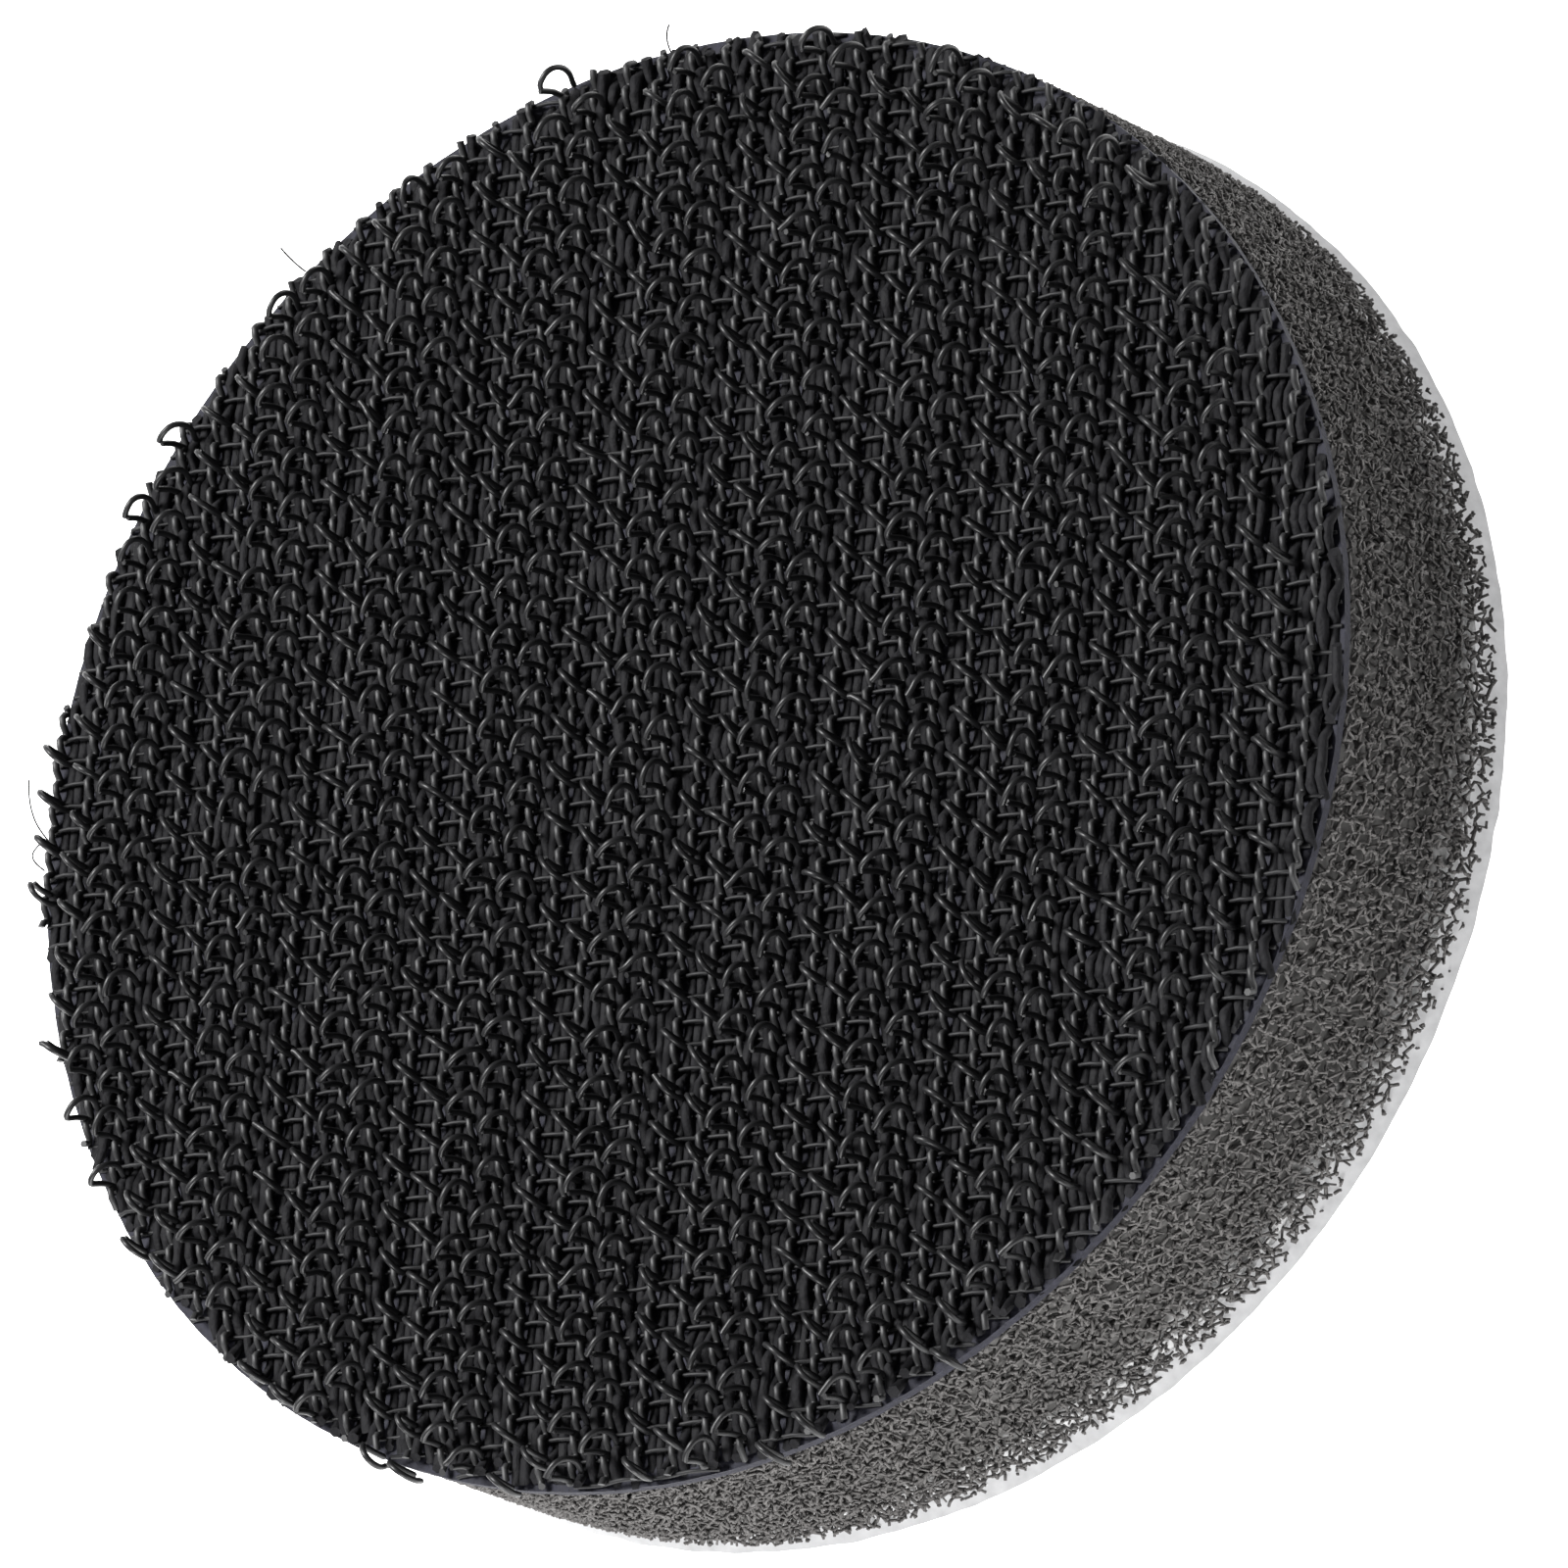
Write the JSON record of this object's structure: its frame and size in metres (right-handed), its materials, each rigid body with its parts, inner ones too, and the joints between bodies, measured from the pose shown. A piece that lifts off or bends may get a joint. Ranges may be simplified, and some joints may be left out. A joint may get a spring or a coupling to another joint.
{
  "type": "round hook-and-loop foam polishing pad",
  "caption": "Round foam pad for spot polishing: dark foam disc, woven hook fabric on the upper face and brushed loop fabric on the lower face.",
  "frame": {"origin": "centre of the lower, loop-fabric face", "axes": "+Z out of the hook face, X along the weft, Y along the warp of the hook fabric"},
  "size_m": [0.05, 0.05, 0.0115],
  "materials": {
    "loop_pile": "brushed light grey loop pile",
    "loop_knit": "light grey warp knit",
    "bond_film": "thin matte bond film",
    "foam": "open-cell polyurethane foam, matte dark grey",
    "back_coating": "matte black resin coating",
    "ground_weft": "matte blue-black filament yarn",
    "ground_warp": "matte blue-black filament yarn",
    "hook_filament": "satin black nylon monofilament"
  },
  "bodies": {
    "root": {"loop_pile": "loop_pile", "loop_knit_base": "loop_knit", "lower_bond_film": "bond_film", "foam_core": "foam", "upper_bond_film": "bond_film", "hook_back_coating": "back_coating", "weft_picks": "ground_weft", "warp_ends": "ground_warp", "hooks_right_first": "hook_filament", "hooks_right_second": "hook_filament", "hooks_left_first": "hook_filament", "hooks_left_second": "hook_filament"}
  },
  "joints": []
}
